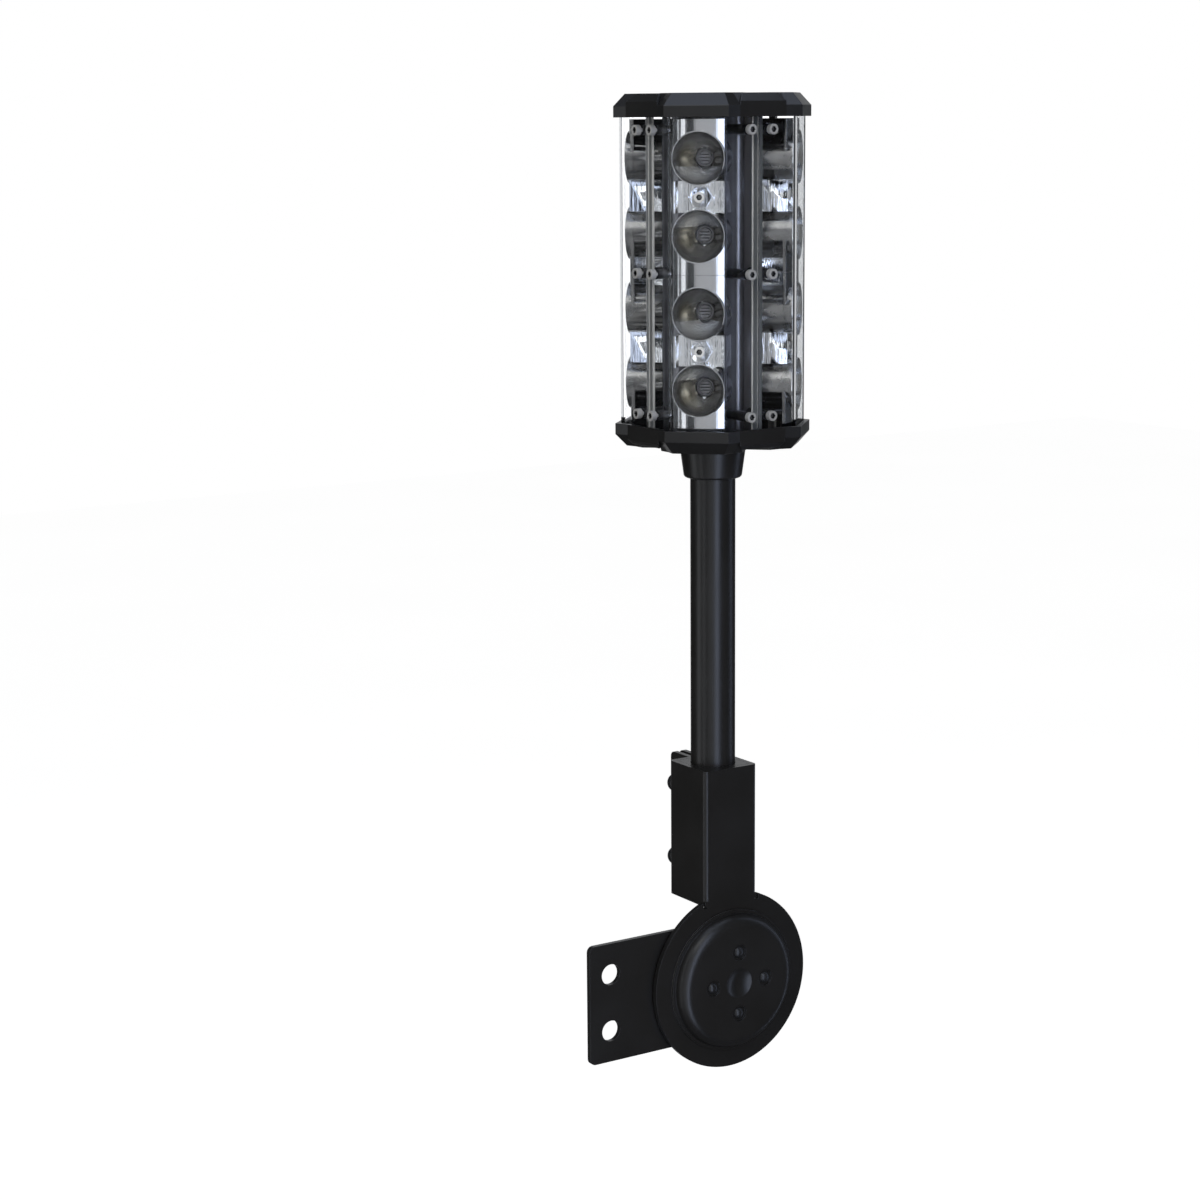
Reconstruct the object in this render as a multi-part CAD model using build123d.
from build123d import *
import math
import os

# LED work beacon: a four-sided lamp head on a pole, held in a folding bracket.
# Units are millimetres. X runs along the mounting plate, +Y points to its back,
# +Z is up. The origin is midway between the two mounting holes, on the back face
# of the plate. The pole axis stands above the pivot, and everything in the lamp
# head is placed about that axis.

# Mounting plate
plate_thickness = 3.0
plate_height = 69.0
plate_corner_radius = 3.5
mount_hole_diameter = 12.0
mount_hole_pitch = 33.0
mount_hole_to_end = 14.0
mount_hole_to_pivot = 79.5

# Pivot: a riveted hub that the bracket turns on, under a pressed cover
hub_radius = 25.0
hub_bore_radius = 10.5
hub_running_clearance = 0.05
face_running_gap = 0.1
back_washer_thickness = 1.4
back_washer_radius = 33.0
front_washer_thickness = 0.4
washer_bore_clearance = 0.5
cover_sheet = 2.5
cover_height = 7.8
cover_flange_radius = 41.5
cover_flange_width = 2.0
cover_flange_thickness = 1.0
dimple_radius = 8.75
dimple_depth = 2.4
rivet_count = 4
rivet_circle_radius = 18.2
rivet_diameter = 4.8
rivet_hole_clearance = 0.05
rivet_dome_radius = 3.4
rivet_dome_height = 2.0
rivet_recess_radius = 4.7
rivet_recess_depth = 0.9
rivet_countersink_radius = 4.2

# Folding bracket: one bent sheet, a disc below and a split clamp channel above
sheet_thickness = 3.0
disc_radius = 52.0
clamp_width = 36.0
clamp_height = 79.0
clamp_above_pivot = 46.0
clamp_bend_radius = 2.5
clamp_inner_bend_radius = 0.8
clamp_slit = 3.0
ear_length = 18.0
ear_corner_radius = 3.0
relief_width = 2.4
relief_height = 0.8

# Clamp block and clamp bolts
block_gap = 0.1
block_corner_radius = 0.9
clamp_bolt_diameter = 6.0
clamp_bolt_hole_clearance = 0.2
clamp_bolt_from_top = 17.8
clamp_bolt_pitch = 44.0
clamp_bolt_to_ear_end = 5.8
clamp_bolt_head_radius = 5.6
clamp_bolt_head_height = 5.4
clamp_bolt_overhang = 2.0
clamp_washer_radius = 5.6
clamp_washer_thickness = 1.2
clamp_nut_across_flats = 10.0
clamp_nut_thickness = 5.0

# Pole
pole_diameter = 25.4
pole_wall = 2.0
pole_sliding_clearance = 0.06
pole_end_in_clamp = 1.0

# Lamp head, heights above the pivot
window_bottom = 320.9
window_height = 167.5

# End caps: twelve-sided castings with four lugs and four flats set back between them
lug_reach = 52.0
lug_half_width = 17.5
lug_step_in = 8.0
flat_reach = 47.0
cap_height = 12.7
cap_band = 6.0
cap_flat_band = 8.2
cap_bevel_angle = 41.0
bottom_flat_step = 2.0
top_flat_step = 0.5
cap_wall = 2.6
cap_tray_depth = 8.3
boss_top_radius = 19.0
boss_bottom_radius = 16.2
boss_length = 20.6
boss_edge_radius = 2.0
socket_clearance = 0.05
wire_hole_radius = 4.0
set_screw_diameter = 5.0
set_screw_below_cap = 11.0
set_screw_angle = 30.0
set_screw_socket = 2.5

# Clear lens: four bent panels that meet on the flats
lens_inset = 3.0
lens_thickness = 2.5
seam_gap = 0.4
gasket_thickness = 1.0
gasket_overhang = 0.2
seam_strip_width = 6.0
seam_strip_thickness = 1.5
panel_screw_offset = 7.0
panel_screw_rows = 3
panel_screw_to_window_end = 6.75
panel_screw_diameter = 3.0
panel_screw_hole_clearance = 0.2
panel_screw_head_radius = 2.8
panel_screw_head_height = 3.0
panel_screw_socket = 3.0
panel_screw_thread = 5.0
standoff_radius = 2.75

# Heat sink: a square tube with a bar across each corner
sink_half_width = 17.0
sink_wall = 3.0
corner_bar_reach = 25.0
corner_bar_thickness = 2.5
corner_bar_half_width = 9.3
port_reach = 22.9
port_radius = 3.6
cap_screw_diameter = 4.0
cap_screw_head_radius = 3.3
cap_screw_head_height = 2.2
cap_screw_length = 12.0
cap_screw_counterbore = 2.6
thread_clearance = 0.05

# Light modules, one behind each lug
module_count = 4
module_to_window_end = 0.95
cup_reach = 46.0
cup_depth = 21.0
cup_radius = 14.5
cup_lip = 0.5
cup_floor_hole_radius = 5.2
cup_bulge = 0.17
face_crown = 3.0
face_thickness = 2.0
face_set_back = 0.4
bridge_reach = 35.0
bridge_thickness = 2.0
bridge_into_cup = 2.3
bridge_wall_thickness = 1.2
bridge_wall_reach = 43.5
hex_boss_reach = 40.0
hex_boss_radius = 6.3
reflector_post_radius = 3.4
module_end_gap = 0.05
board_thickness = 1.6
board_half_width = 11.0
emitter_radius = 4.65
emitter_body_height = 5.4
emitter_dome_height = 1.8
reflector_screw_diameter = 3.0
reflector_screw_head_radius = 2.8
reflector_screw_head_height = 3.0
reflector_screw_socket = 3.0

# Driver board inside the heat sink
driver_height = 118.0
driver_thickness = 1.6
driver_side_gap = 0.4
capacitor_radius = 4.0
capacitor_height = 11.0
capacitor_pitch = 30.0

# Places worked out from the sizes above
pivot_x = mount_hole_to_pivot
plate_front = -plate_thickness
disc_back = plate_front - back_washer_thickness - face_running_gap
disc_front = disc_back - sheet_thickness
cover_foot = disc_front - face_running_gap - front_washer_thickness
cover_face = cover_foot - cover_height
pole_radius = pole_diameter / 2
clamp_half = clamp_width / 2
pole_y = disc_front + clamp_half
clamp_top = clamp_above_pivot + clamp_height
window_top = window_bottom + window_height
window_middle = window_bottom + window_height / 2
tray_floor = window_bottom - cap_tray_depth
tray_ceiling = window_top + cap_tray_depth
lens_bottom = tray_floor + gasket_thickness
lens_top = tray_ceiling - gasket_thickness
cap_bottom = window_bottom - cap_height
flat_bottom = cap_bottom + bottom_flat_step
flat_top = window_top + cap_height - top_flat_step
lens_flat_reach = flat_reach - lens_inset
lens_inner_flat_reach = lens_flat_reach - lens_thickness
board_reach = sink_half_width + board_thickness
cup_back = cup_reach - cup_depth
cup_pitch = (window_height - 2 * module_to_window_end) / 4
module_pitch = 2 * cup_pitch
bridge_half_height = cup_pitch / 2 - cup_radius + bridge_into_cup


def upright(y):
    """Plane whose sketch X is X and whose sketch Y is Z, at the given Y, facing -Y."""
    return Plane.XZ.offset(-y)


def rod(radius, start, end):
    """Cylinder along -Y, from a distance start to a distance end in front of the XZ plane."""
    return extrude(upright(-start) * Circle(radius), end - start)


def on_pole(shape, turn=0.0):
    """Place a shape that was drawn about the Z axis on the pole axis, turned about it."""
    return Pos(pivot_x, pole_y, 0) * Rot(0, 0, turn) * shape


def lug_turn(index):
    """Turn of a lug or light module about the pole axis."""
    return -45.0 + index * 360.0 / module_count


def flat_turn(index):
    """Turn of a set-back flat about the pole axis."""
    return index * 360.0 / module_count


# Mounting plate and pivot

def pivot_pattern(shape):
    """Copies of a shape, drawn about the Y axis, on the rivet circle."""
    copies = []
    for index in range(rivet_count):
        angle = math.radians(index * 360.0 / rivet_count)
        offset_x = rivet_circle_radius * math.cos(angle)
        offset_z = rivet_circle_radius * math.sin(angle)
        copies.append(Pos(pivot_x + offset_x, 0, offset_z) * shape)
    return copies


def rivet_hole(start, end):
    """Rivet hole through everything between two distances in front of the back face."""
    return rod(rivet_diameter / 2 + rivet_hole_clearance, start, end)


def mount_plate():
    """Flat plate with two mounting holes, round at the pivot."""
    length = mount_hole_to_end + mount_hole_to_pivot
    blank = Pos(length / 2 - mount_hole_to_end, 0) * Rectangle(length, plate_height)
    free_corners = blank.vertices().group_by(Axis.X)[0]
    blank = fillet(free_corners, plate_corner_radius)
    blank += Pos(pivot_x, 0) * Circle(plate_height / 2)
    for side in (-1, 1):
        blank -= Pos(0, side * mount_hole_pitch / 2) * Circle(mount_hole_diameter / 2)
    plate = extrude(upright(0) * blank, plate_thickness)
    countersink = rivet_countersink_radius - rivet_diameter / 2
    for cut in pivot_pattern(rivet_hole(-1, plate_thickness + 1)):
        plate -= cut
    for cut in pivot_pattern(countersunk_end(countersink, rivet_hole_clearance)):
        plate -= cut
    return plate


def countersunk_end(depth, clearance):
    """Cone that widens towards the back face of the plate."""
    small = rivet_diameter / 2 + clearance
    large = small + depth
    profile = make_face(Polyline((0, 0), (large, 0), (small, -depth), (0, -depth), close=True))
    return revolve(profile, Axis.Y)


def pivot_hub():
    """Ring that the bracket turns on."""
    ring = Circle(hub_radius) - Circle(hub_bore_radius)
    hub = extrude(upright(plate_front) * (Pos(pivot_x, 0) * ring), hub_end() - plate_thickness)
    for cut in pivot_pattern(rivet_hole(plate_thickness - 1, hub_end() + 1)):
        hub -= cut
    return hub


def hub_end():
    """Distance from the back face of the plate to the inside of the cover."""
    return -(cover_face + cover_sheet)


def friction_ring(inner, outer, y, thickness):
    """Flat ring about the pivot, from y towards the front."""
    ring = Pos(pivot_x, 0) * (Circle(outer) - Circle(inner))
    return extrude(upright(y) * ring, thickness)


def pivot_cover():
    """Pressed cover: a flat dome with a dimple in its middle and a thin rim at its foot."""
    wall = cover_flange_radius - cover_flange_width
    shoulder = cover_height - cover_flange_thickness
    flat_edge = wall - shoulder
    bowl = (dimple_radius ** 2 + dimple_depth ** 2) / (2 * dimple_depth)
    bowl_centre = cover_face + dimple_depth - bowl
    inner_bowl = bowl + cover_sheet
    inner_face = cover_face + cover_sheet
    inner_edge = math.sqrt(inner_bowl ** 2 - (inner_face - bowl_centre) ** 2)
    shoulder_centre = (flat_edge, cover_face + shoulder)
    outer_angle = math.degrees(math.asin(dimple_radius / bowl))
    inner_angle = math.degrees(math.asin(inner_edge / inner_bowl))
    flange_face = cover_foot - cover_flange_thickness
    inner_wall = wall - cover_sheet
    outline = Curve() + [
        CenterArc((0, bowl_centre), bowl, 90, -outer_angle),
        Line((dimple_radius, cover_face), (flat_edge, cover_face)),
        CenterArc(shoulder_centre, shoulder, -90, 90),
        Line((wall, flange_face), (cover_flange_radius, flange_face)),
        Line((cover_flange_radius, flange_face), (cover_flange_radius, cover_foot)),
        Line((cover_flange_radius, cover_foot), (inner_wall, cover_foot)),
        Line((inner_wall, cover_foot), (inner_wall, flange_face)),
        CenterArc(shoulder_centre, shoulder - cover_sheet, 0, -90),
        Line((flat_edge, inner_face), (inner_edge, inner_face)),
        CenterArc((0, bowl_centre), inner_bowl, 90 - inner_angle, inner_angle),
        Line((0, bowl_centre + inner_bowl), (0, bowl_centre + bowl)),
    ]
    cover = Pos(pivot_x, 0, 0) * revolve(make_face(outline), Axis.Y)
    front = -cover_face
    for cut in pivot_pattern(rivet_hole(front - cover_sheet - 1, front + 1)):
        cover -= cut
    for cut in pivot_pattern(rod(rivet_recess_radius, front - rivet_recess_depth, front + 1)):
        cover -= cut
    return cover


def dome(radius, height):
    """Round head on the XY plane, rising along +Z."""
    ball = (radius ** 2 + height ** 2) / (2 * height)
    angle = math.degrees(math.asin(radius / ball))
    arc = CenterArc((0, height - ball), ball, 90 - angle, angle)
    edges = Curve() + [arc, Line((0, height), (0, 0)), Line((0, 0), (radius, 0))]
    profile = Plane.XZ * make_face(edges)
    return revolve(profile, Axis.Z)


def cover_rivets():
    """Rivets through cover, hub and plate, domed in front and flush behind."""
    seat = -cover_face - rivet_recess_depth
    shank = rod(rivet_diameter / 2, 0, seat)
    tail = countersunk_end(rivet_countersink_radius - rivet_diameter / 2, 0)
    head = Pos(0, -seat, 0) * Rot(90, 0, 0) * dome(rivet_dome_radius, rivet_dome_height)
    return Compound(children=pivot_pattern(shank + tail + head))


# Folding bracket and clamp

def bracket_section():
    """Plan of the clamp channel about the pole axis: a split square with two ears."""
    outer = RectangleRounded(clamp_width, clamp_width, clamp_bend_radius)
    inner_width = clamp_width - 2 * sheet_thickness
    section = outer - RectangleRounded(inner_width, inner_width, clamp_inner_bend_radius)
    reach = sheet_thickness + ear_length
    ear_y = clamp_half - sheet_thickness + reach / 2
    for side in (-1, 1):
        ear_x = side * (clamp_slit + sheet_thickness) / 2
        section += Pos(ear_x, ear_y) * Rectangle(sheet_thickness, reach)
    section -= Pos(0, clamp_half) * Rectangle(clamp_slit, 4 * sheet_thickness)
    return section


def clamp_bolt_spots():
    """Y and Z of the clamp bolts about the pole axis."""
    y = clamp_half + ear_length - clamp_bolt_to_ear_end
    first = clamp_top - clamp_bolt_from_top
    return [(y, first), (y, first - clamp_bolt_pitch)]


def sideways_rod(radius, start, end, y, z):
    """Cylinder along X about the pole axis."""
    return extrude(Plane.YZ.offset(start) * (Pos(y, z) * Circle(radius)), end - start)


def swivel_bracket():
    """Bent sheet: a disc that turns on the hub and the channel that clamps the pole."""
    channel = extrude(Plane.XY.offset(clamp_above_pivot) * bracket_section(), clamp_height)
    ear_end = clamp_half + ear_length
    ear_edges = channel.edges().filter_by(Axis.X).filter_by_position(
        Axis.Y, ear_end - 0.01, ear_end + 0.01)
    channel = fillet(ear_edges, ear_corner_radius)
    hole_radius = clamp_bolt_diameter / 2 + clamp_bolt_hole_clearance
    reach = clamp_slit / 2 + sheet_thickness + 1
    for y, z in clamp_bolt_spots():
        channel -= sideways_rod(hole_radius, -reach, reach, y, z)
    disc = Circle(disc_radius) - Circle(hub_radius + hub_running_clearance)
    bracket = on_pole(channel)
    bracket += extrude(upright(disc_back) * (Pos(pivot_x, 0) * disc), sheet_thickness)
    relief_top = math.sqrt(disc_radius ** 2 - clamp_half ** 2) + 1
    relief_bottom = clamp_above_pivot - relief_height
    outer_reach = clamp_half + relief_width / 2
    for side in (-1, 1):
        slot_x = side * (outer_reach - relief_width / 2)
        slot = Pos(pivot_x + slot_x, relief_bottom + relief_height / 2)
        bracket -= cut_sheet(slot * Rectangle(relief_width, relief_height))
        step_x = side * (clamp_half + outer_reach) / 2
        step_height = relief_top - relief_bottom
        step = Pos(pivot_x + step_x, relief_bottom + step_height / 2)
        bracket -= cut_sheet(step * Rectangle(outer_reach - clamp_half, step_height))
    return bracket


def cut_sheet(sketch):
    """Cut through the bracket's disc with a sketch drawn in X and Z."""
    return extrude(upright(disc_back + 1) * sketch, sheet_thickness + 2)


def clamp_block():
    """Split block that fills the channel and grips the pole."""
    width = clamp_width - 2 * sheet_thickness - 2 * block_gap
    plan = RectangleRounded(width, width, block_corner_radius)
    plan -= Circle(pole_radius + pole_sliding_clearance)
    plan -= Pos(0, width / 2) * Rectangle(clamp_slit, width)
    block = extrude(Plane.XY.offset(clamp_above_pivot) * plan, clamp_height)
    return on_pole(block)


def clamp_bolts():
    """Round-headed bolts across the ears, heads to the left."""
    ear_face = clamp_slit / 2 + sheet_thickness
    tip = ear_face + clamp_washer_thickness + clamp_nut_thickness + clamp_bolt_overhang
    bolts = []
    for y, z in clamp_bolt_spots():
        shank = sideways_rod(clamp_bolt_diameter / 2, -ear_face, tip, y, z)
        head = dome(clamp_bolt_head_radius, clamp_bolt_head_height)
        bolts.append(on_pole(shank + Pos(-ear_face, y, z) * Rot(0, -90, 0) * head))
    return Compound(children=bolts)


def clamp_washers():
    """Plain washers under the clamp nuts."""
    start = clamp_slit / 2 + sheet_thickness
    end = start + clamp_washer_thickness
    hole = clamp_bolt_diameter / 2 + clamp_bolt_hole_clearance
    washers = []
    for y, z in clamp_bolt_spots():
        disc = sideways_rod(clamp_washer_radius, start, end, y, z)
        washers.append(on_pole(disc - sideways_rod(hole, start - 1, end + 1, y, z)))
    return Compound(children=washers)


def clamp_nuts():
    """Hexagon nuts on the clamp bolts."""
    start = clamp_slit / 2 + sheet_thickness + clamp_washer_thickness
    corner = clamp_nut_across_flats / math.sqrt(3)
    hole = clamp_bolt_diameter / 2 + thread_clearance
    nuts = []
    for y, z in clamp_bolt_spots():
        plan = Pos(y, z) * (RegularPolygon(corner, 6) - Circle(hole))
        nuts.append(on_pole(extrude(Plane.YZ.offset(start) * plan, clamp_nut_thickness)))
    return Compound(children=nuts)


def pole():
    """Round tube from the clamp up into the socket of the bottom cap."""
    bottom = clamp_above_pivot + pole_end_in_clamp
    ring = Circle(pole_radius) - Circle(pole_radius - pole_wall)
    return on_pole(extrude(Plane.XY.offset(bottom) * ring, flat_bottom - bottom))


# End caps

def head_corners(inset=0.0):
    """Corners of the lamp head's plan, lugs on the axes, with each side moved in by inset."""
    corner = lug_reach - lug_step_in
    side = flat_reach * math.sqrt(2) - corner
    quarter = [(side, corner), (lug_half_width, lug_reach)]
    quarter += [(-lug_half_width, lug_reach), (-side, corner)]
    points = []
    for index in range(module_count):
        for x, y in quarter:
            points.append(Vector(x, y).rotate(Axis.Z, index * 360.0 / module_count))
    moved = []
    for index, point in enumerate(points):
        before = (point - points[index - 1]).normalized()
        after = (points[(index + 1) % len(points)] - point).normalized()
        inward = before.rotate(Axis.Z, 90) + after.rotate(Axis.Z, 90)
        moved.append(point + inward * (inset / (1 + before.dot(after))))
    return moved


def head_outline(inset=0.0):
    """Plan of the lamp head about the pole axis, each side moved in by inset."""
    return make_face(Polyline(*head_corners(inset), close=True))


def bevelled(band, height):
    """Head outline raised to a height, with its sides bevelled above the band."""
    inset = (height - band) * math.tan(math.radians(cap_bevel_angle))
    low = [Vector(point.X, point.Y, band) for point in head_corners()]
    high = [Vector(point.X, point.Y, height) for point in head_corners(inset)]
    faces = [Face(Wire.make_polygon(low[::-1])), Face(Wire.make_polygon(high))]
    for index in range(len(low)):
        after = (index + 1) % len(low)
        corners = [low[index], low[after], high[after], high[index]]
        faces.append(Face(Wire.make_polygon(corners)))
    return extrude(head_outline(), band) + Solid(Shell(faces))


def cap_casting(flat_step):
    """Cap with its open side down at Z = 0: raised lugs, lower flats and a tray."""
    lugs = bevelled(cap_band, cap_height)
    flats = bevelled(cap_flat_band, cap_height - flat_step)
    start = head_corners()[0].X
    middle = start + lug_reach / 2
    corner = extrude(Pos(middle, middle) * Rectangle(lug_reach, lug_reach), 2 * cap_height)
    casting = lugs
    for index in range(module_count):
        casting -= Rot(0, 0, index * 360.0 / module_count) * corner
    for index in range(module_count):
        casting += flats & (Rot(0, 0, index * 360.0 / module_count) * corner)
    return casting - extrude(head_outline(cap_wall), cap_tray_depth)


def cap_screw_spots():
    """X and Y of the cap screws and of the heat sink's screw ports, lugs on the axes."""
    spots = []
    for index in range(module_count):
        angle = math.radians(45.0 + index * 360.0 / module_count)
        spots.append((port_reach * math.cos(angle), port_reach * math.sin(angle)))
    return spots


def drill(shape, radius, spots, bottom, top):
    """Drill upright holes through a shape."""
    for x, y in spots:
        shape -= extrude(Plane.XY.offset(bottom) * (Pos(x, y) * Circle(radius)), top - bottom)
    return shape


def top_cap():
    """Closed cap over the lens, with sunk screws."""
    cap = Pos(0, 0, window_top) * cap_casting(top_flat_step)
    hole = cap_screw_diameter / 2 + panel_screw_hole_clearance
    spots = cap_screw_spots()
    cap = drill(cap, hole, spots, tray_ceiling - 1, flat_top + 1)
    counterbore = cap_screw_head_radius + 2 * panel_screw_hole_clearance
    cap = drill(cap, counterbore, spots, flat_top - cap_screw_counterbore, flat_top + 1)
    return on_pole(cap, lug_turn(0))


def set_screw_places():
    """Turns about the pole axis of the two screws that hold the pole, on the back side."""
    return [180.0 - set_screw_angle, 180.0 + set_screw_angle]


def bottom_cap():
    """Open tray with the tapered socket for the pole cast under it."""
    casting = mirror(cap_casting(bottom_flat_step), about=Plane.XY)
    cap = Pos(0, 0, window_bottom) * casting
    slope = (boss_top_radius - boss_bottom_radius) / boss_length
    boss_bottom = flat_bottom - boss_length
    boss = Pos(0, 0, boss_bottom + boss_length / 2) * Cone(
        boss_bottom_radius, boss_top_radius, boss_length)
    boss = fillet(boss.edges().group_by(Axis.Z)[0], boss_edge_radius)
    collar_radius = boss_top_radius + slope * (tray_floor - flat_bottom) / 2
    joint = extrude(Plane.XY.offset(flat_bottom) * Circle(collar_radius), 1)
    cap = cap + boss + joint
    socket = pole_radius + socket_clearance
    cap = drill(cap, socket, [(0, 0)], boss_bottom - 1, flat_bottom)
    cap = drill(cap, wire_hole_radius, [(0, 0)], flat_bottom - 1, tray_floor + 1)
    hole = cap_screw_diameter / 2 + panel_screw_hole_clearance
    cap = drill(cap, hole, cap_screw_spots(), flat_bottom - 1, tray_floor + 1)
    counterbore = cap_screw_head_radius + 2 * panel_screw_hole_clearance
    cap = drill(cap, counterbore, cap_screw_spots(), cap_bottom - 1, flat_bottom)
    cap = on_pole(cap, lug_turn(0))
    tapped = set_screw_diameter / 2 + thread_clearance
    for turn in set_screw_places():
        cut = Pos(0, 0, set_screw_height()) * rod(tapped, pole_radius - 1, boss_top_radius + 1)
        cap -= on_pole(cut, turn)
    return cap


def set_screw_height():
    """Height of the screws that hold the pole."""
    return flat_bottom - set_screw_below_cap


def pole_set_screws():
    """Two socket screws without heads that hold the pole in its socket."""
    slope = (boss_top_radius - boss_bottom_radius) / boss_length
    outer = boss_top_radius - slope * (set_screw_below_cap + set_screw_diameter)
    inner = pole_radius + socket_clearance
    screw = rod(set_screw_diameter / 2, inner, outer)
    screw -= hex_socket(set_screw_socket, outer, (outer - inner) / 2)
    screw = Pos(0, 0, set_screw_height()) * screw
    return Compound(children=[on_pole(screw, turn) for turn in set_screw_places()])


def hex_socket(across_flats, face, depth):
    """Hexagon socket cut into a face that looks along -Y."""
    corner = across_flats / math.sqrt(3)
    return extrude(upright(-face + depth) * RegularPolygon(corner, 6), depth + 1)


def cap_screw():
    """Screw along Z, its head seat at Z = 0 and its tip above it."""
    head = Pos(0, 0, -cap_screw_head_height / 2) * Cylinder(
        cap_screw_head_radius, cap_screw_head_height)
    shank = Pos(0, 0, cap_screw_length / 2) * Cylinder(cap_screw_diameter / 2, cap_screw_length)
    return head + shank


def cap_screws(seat, direction):
    """Four screws from one cap into the heat sink."""
    screw = cap_screw()
    if direction < 0:
        screw = mirror(screw, about=Plane.XY)
    screws = []
    for x, y in cap_screw_spots():
        screws.append(on_pole(Pos(x, y, seat) * screw, lug_turn(0)))
    return Compound(children=screws)


# Lens

def lens_ring(outer_inset, inner_inset, bottom, top):
    """Upright ring that follows the head outline."""
    ring = head_outline(outer_inset) - head_outline(inner_inset)
    return extrude(Plane.XY.offset(bottom) * ring, top - bottom)


def panel_screw_heights():
    """Heights of the lens screws."""
    first = window_bottom + panel_screw_to_window_end
    pitch = (window_height - 2 * panel_screw_to_window_end) / (panel_screw_rows - 1)
    return [first + row * pitch for row in range(panel_screw_rows)]


def quarter_wedge(gap):
    """Wedge that takes one lug and half of each flat beside it, facing -Y."""
    reach = 2 * lug_reach
    tip = gap / math.sqrt(2)
    left = (-reach, -tip - reach)
    right = (reach, -tip - reach)
    wedge = make_face(Polyline((0, -tip), left, right, close=True))
    return extrude(Plane.XY.offset(lens_bottom) * wedge, lens_top - lens_bottom)


def flat_screw_pairs(shape):
    """Copies of a shape, drawn about the Y axis, at every lens screw of one flat."""
    copies = []
    for height in panel_screw_heights():
        for side in (-1, 1):
            copies.append(Pos(side * panel_screw_offset, 0, height) * shape)
    return copies


def lens_panel(index):
    """One clear panel, bent round a lug, with three screw holes along each edge."""
    ring = lens_ring(lens_inset, lens_inset + lens_thickness, lens_bottom, lens_top)
    panel = ring & quarter_wedge(seam_gap)
    radius = panel_screw_diameter / 2 + panel_screw_hole_clearance
    hole = rod(radius, lens_inner_flat_reach - 1, lens_flat_reach + 1)
    for turn in (-45.0, 45.0):
        for cut in flat_screw_pairs(hole):
            panel -= Rot(0, 0, turn) * cut
    return on_pole(panel, lug_turn(index))


def lens_gasket(bottom):
    """Flat gasket under the edge of the lens."""
    inner = lens_inset + lens_thickness + gasket_overhang
    return on_pole(
        lens_ring(lens_inset - gasket_overhang, inner, bottom, bottom + gasket_thickness),
        lug_turn(0))


def seam_strip(index):
    """Strip behind the seam between two lens panels."""
    middle = lens_inner_flat_reach - seam_strip_thickness / 2
    plan = Pos(0, -middle) * Rectangle(seam_strip_width, seam_strip_thickness)
    strip = extrude(Plane.XY.offset(lens_bottom) * plan, lens_top - lens_bottom)
    return on_pole(strip, flat_turn(index))


def panel_screws():
    """Socket-head screws through the lens into the standoffs."""
    tip = lens_inner_flat_reach - panel_screw_thread
    head_face = lens_flat_reach + panel_screw_head_height
    screw = rod(panel_screw_diameter / 2, tip, lens_flat_reach)
    screw += rod(panel_screw_head_radius, lens_flat_reach, head_face)
    screw -= hex_socket(panel_screw_socket, head_face, panel_screw_head_height / 2)
    screws = []
    for index in range(module_count):
        for copy in flat_screw_pairs(screw):
            screws.append(on_pole(copy, flat_turn(index)))
    return Compound(children=screws)


def panel_standoffs():
    """Round standoffs between the heat sink and the lens, tapped at the lens end."""
    tap_end = lens_inner_flat_reach - panel_screw_thread
    standoff = rod(standoff_radius, corner_bar_reach, lens_inner_flat_reach)
    tapped = panel_screw_diameter / 2 + thread_clearance
    standoff -= rod(tapped, tap_end, lens_inner_flat_reach + 1)
    standoffs = []
    for index in range(module_count):
        for copy in flat_screw_pairs(standoff):
            standoffs.append(on_pole(copy, flat_turn(index)))
    return Compound(children=standoffs)


# Heat sink, boards and reflectors

def heat_sink():
    """Extruded core: a square tube with a bar and a screw port at each corner."""
    plan = Rectangle(2 * sink_half_width, 2 * sink_half_width)
    bar_middle = corner_bar_reach - corner_bar_thickness / 2
    bar = Pos(bar_middle, 0) * Rectangle(corner_bar_thickness, 2 * corner_bar_half_width)
    for index in range(module_count):
        plan += Rot(0, 0, 45.0 + index * 360.0 / module_count) * bar
    inner_width = 2 * (sink_half_width - sink_wall)
    plan -= Rectangle(inner_width, inner_width)
    for x, y in cap_screw_spots():
        plan += Pos(x, y) * Circle(port_radius)
    for x, y in cap_screw_spots():
        plan -= Pos(x, y) * Circle(cap_screw_diameter / 2 + thread_clearance)
    sink = extrude(Plane.XY.offset(tray_floor) * plan, tray_ceiling - tray_floor)
    tapped = reflector_screw_diameter / 2 + thread_clearance
    bore = rod(tapped, sink_half_width - sink_wall - 1, sink_half_width + 1)
    for index in range(module_count):
        for height in module_heights():
            sink -= Rot(0, 0, index * 360.0 / module_count) * (Pos(0, 0, height) * bore)
    return on_pole(sink, lug_turn(0))


def module_heights():
    """Heights of the middles of the twin reflectors."""
    return [window_middle - module_pitch / 2, window_middle + module_pitch / 2]


def cup_heights():
    """Heights of the four cups of a module."""
    return [height + side * cup_pitch / 2 for height in module_heights() for side in (-1, 1)]


def led_board(index):
    """Circuit board of one light module, flat on the heat sink."""
    height = 2 * module_pitch - 2 * module_end_gap
    plan = Pos(0, window_middle) * Rectangle(2 * board_half_width, height)
    clearance = reflector_screw_diameter / 2 + panel_screw_hole_clearance
    for middle in module_heights():
        plan -= Pos(0, middle) * Circle(clearance)
    board = extrude(upright(-sink_half_width) * plan, board_thickness)
    return on_pole(board, lug_turn(index))


def led_emitters(index):
    """The four emitters of one light module."""
    body_end = board_reach + emitter_body_height
    body = rod(emitter_radius, board_reach, body_end)
    lens = Pos(0, -body_end, 0) * Rot(90, 0, 0) * dome(emitter_radius, emitter_dome_height)
    emitter = body + lens
    emitters = [on_pole(Pos(0, 0, z) * emitter, lug_turn(index)) for z in cup_heights()]
    return Compound(children=emitters)


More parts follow.
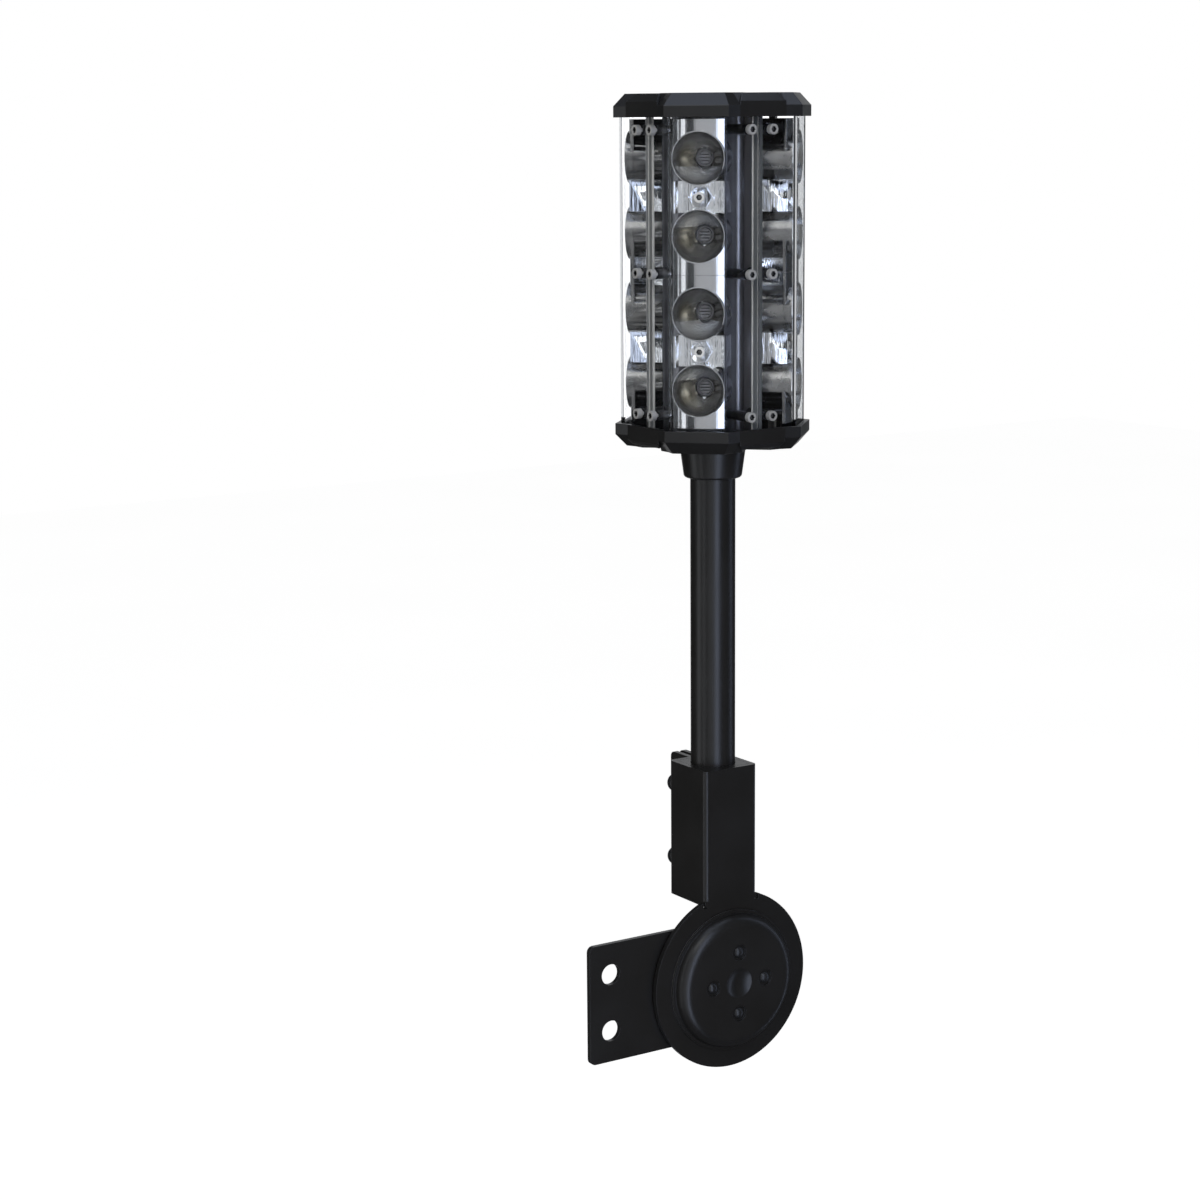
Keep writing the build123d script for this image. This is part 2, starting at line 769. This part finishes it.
def reflector_bowl():
    """Space inside a cup, drawn about the Y axis and open towards -Y."""
    mouth = cup_radius - cup_lip
    floor = cup_back + cup_lip
    middle_y = -(floor + cup_reach) / 2
    middle_x = (cup_floor_hole_radius + mouth) / 2 + cup_bulge * (mouth - cup_floor_hole_radius)
    wall = ThreePointArc(
        (cup_floor_hole_radius, -floor), (middle_x, middle_y), (mouth, -cup_reach))
    front = -cup_reach - 1
    edges = Curve() + [
        wall,
        Polyline((mouth, -cup_reach), (mouth, front), (0, front), (0, -cup_back + 1)),
        Polyline((0, -cup_back + 1), (cup_floor_hole_radius, -cup_back + 1)),
        Line((cup_floor_hole_radius, -cup_back + 1), (cup_floor_hole_radius, -floor)),
    ]
    return revolve(make_face(edges), Axis.Y)


def reflector_face(outer_end):
    """Crowned face from the middle of a cup to the end of the reflector."""
    half = cup_radius
    crest = cup_reach - face_set_back
    edge = crest - face_crown
    front = ThreePointArc((-half, -edge), (0, -crest), (half, -edge))
    back = ThreePointArc(
        (half, -edge + face_thickness), (0, -crest + face_thickness),
        (-half, -edge + face_thickness))
    sides = [
        Line((half, -edge), (half, -edge + face_thickness)),
        Line((-half, -edge + face_thickness), (-half, -edge)),
    ]
    plan = make_face(Curve() + [front, back] + sides)
    start = cup_pitch / 2
    return extrude(Plane.XY.offset(start) * plan, outer_end - start)


def twin_reflector(index, height):
    """Two cups on one moulding, held by one screw in the bridge between them."""
    outer_end = module_pitch / 2 - module_end_gap
    barrel = rod(cup_radius, cup_back, cup_reach)
    half = reflector_face(outer_end) + Pos(0, 0, cup_pitch / 2) * barrel
    body = half + mirror(half, about=Plane.XY)
    bridge = Rectangle(2 * (cup_radius - cup_lip), 2 * bridge_half_height)
    body += extrude(upright(-bridge_reach + bridge_thickness) * bridge, bridge_thickness)
    wall = Rectangle(bridge_wall_thickness, 2 * bridge_half_height)
    wall_x = cup_radius - cup_lip - bridge_wall_thickness / 2
    for side in (-1, 1):
        place = upright(-bridge_reach + bridge_thickness) * (Pos(side * wall_x, 0) * wall)
        body += extrude(place, bridge_wall_reach - bridge_reach + bridge_thickness)
    body += rod(reflector_post_radius, board_reach, bridge_reach - bridge_thickness / 2)
    boss = RegularPolygon(hex_boss_radius, 6)
    body += extrude(upright(-bridge_reach) * boss, hex_boss_reach - bridge_reach)
    bowl = reflector_bowl()
    for side in (-1, 1):
        body -= Pos(0, 0, side * cup_pitch / 2) * bowl
    hole = reflector_screw_diameter / 2 + thread_clearance
    body -= rod(hole, board_reach - 1, hex_boss_reach + 1)
    return on_pole(Pos(0, 0, height) * body, lug_turn(index))


def reflector_screws():
    """One socket-head screw through each twin reflector and its board."""
    head_face = hex_boss_reach + reflector_screw_head_height
    screw = rod(reflector_screw_diameter / 2, sink_half_width - sink_wall, hex_boss_reach)
    screw += rod(reflector_screw_head_radius, hex_boss_reach, head_face)
    screw -= hex_socket(reflector_screw_socket, head_face, reflector_screw_head_height / 2)
    screws = []
    for index in range(module_count):
        for height in module_heights():
            screws.append(on_pole(Pos(0, 0, height) * screw, lug_turn(index)))
    return Compound(children=screws)


def driver_board():
    """Driver circuit board standing inside the heat sink, with its capacitors."""
    width = 2 * (sink_half_width - sink_wall - driver_side_gap)
    plan = Pos(0, tray_floor + driver_height / 2) * Rectangle(width, driver_height)
    board = extrude(upright(driver_thickness / 2) * plan, driver_thickness)
    face = driver_thickness / 2
    for step in (-1, 0, 1):
        z = tray_floor + driver_height / 2 + step * capacitor_pitch
        board += Pos(0, 0, z) * rod(capacitor_radius, face, face + capacitor_height)
    return on_pole(board, lug_turn(0))


def all_parts():
    """Every part of the beacon by name."""
    cover_inner = cover_flange_radius - cover_flange_width - cover_sheet
    washer_bore = hub_radius + washer_bore_clearance
    parts = {
        "mount_plate": mount_plate(),
        "pivot_hub": pivot_hub(),
        "back_friction_washer": friction_ring(
            washer_bore, back_washer_radius, plate_front, back_washer_thickness),
        "front_friction_washer": friction_ring(
            cover_inner, cover_flange_radius, cover_foot + front_washer_thickness,
            front_washer_thickness),
        "pivot_cover": pivot_cover(),
        "cover_rivets": cover_rivets(),
        "swivel_bracket": swivel_bracket(),
        "clamp_block": clamp_block(),
        "clamp_bolts": clamp_bolts(),
        "clamp_washers": clamp_washers(),
        "clamp_nuts": clamp_nuts(),
        "pole": pole(),
        "pole_set_screws": pole_set_screws(),
        "bottom_cap": bottom_cap(),
        "top_cap": top_cap(),
        "bottom_cap_screws": cap_screws(flat_bottom, 1),
        "top_cap_screws": cap_screws(flat_top - cap_screw_counterbore, -1),
        "bottom_gasket": lens_gasket(tray_floor),
        "top_gasket": lens_gasket(lens_top),
        "heat_sink": heat_sink(),
        "driver_board": driver_board(),
        "panel_screws": panel_screws(),
        "panel_standoffs": panel_standoffs(),
        "reflector_screws": reflector_screws(),
    }
    lower, upper = module_heights()
    for index in range(module_count):
        number = index + 1
        parts[f"lens_panel_{number}"] = lens_panel(index)
        parts[f"seam_strip_{number}"] = seam_strip(index)
        parts[f"led_board_{number}"] = led_board(index)
        parts[f"led_emitters_{number}"] = led_emitters(index)
        parts[f"reflector_{number}_lower"] = twin_reflector(index, lower)
        parts[f"reflector_{number}_upper"] = twin_reflector(index, upper)
    return parts


os.makedirs("parts", exist_ok=True)
for name, shape in all_parts().items():
    export_step(shape, f"parts/{name}.step")
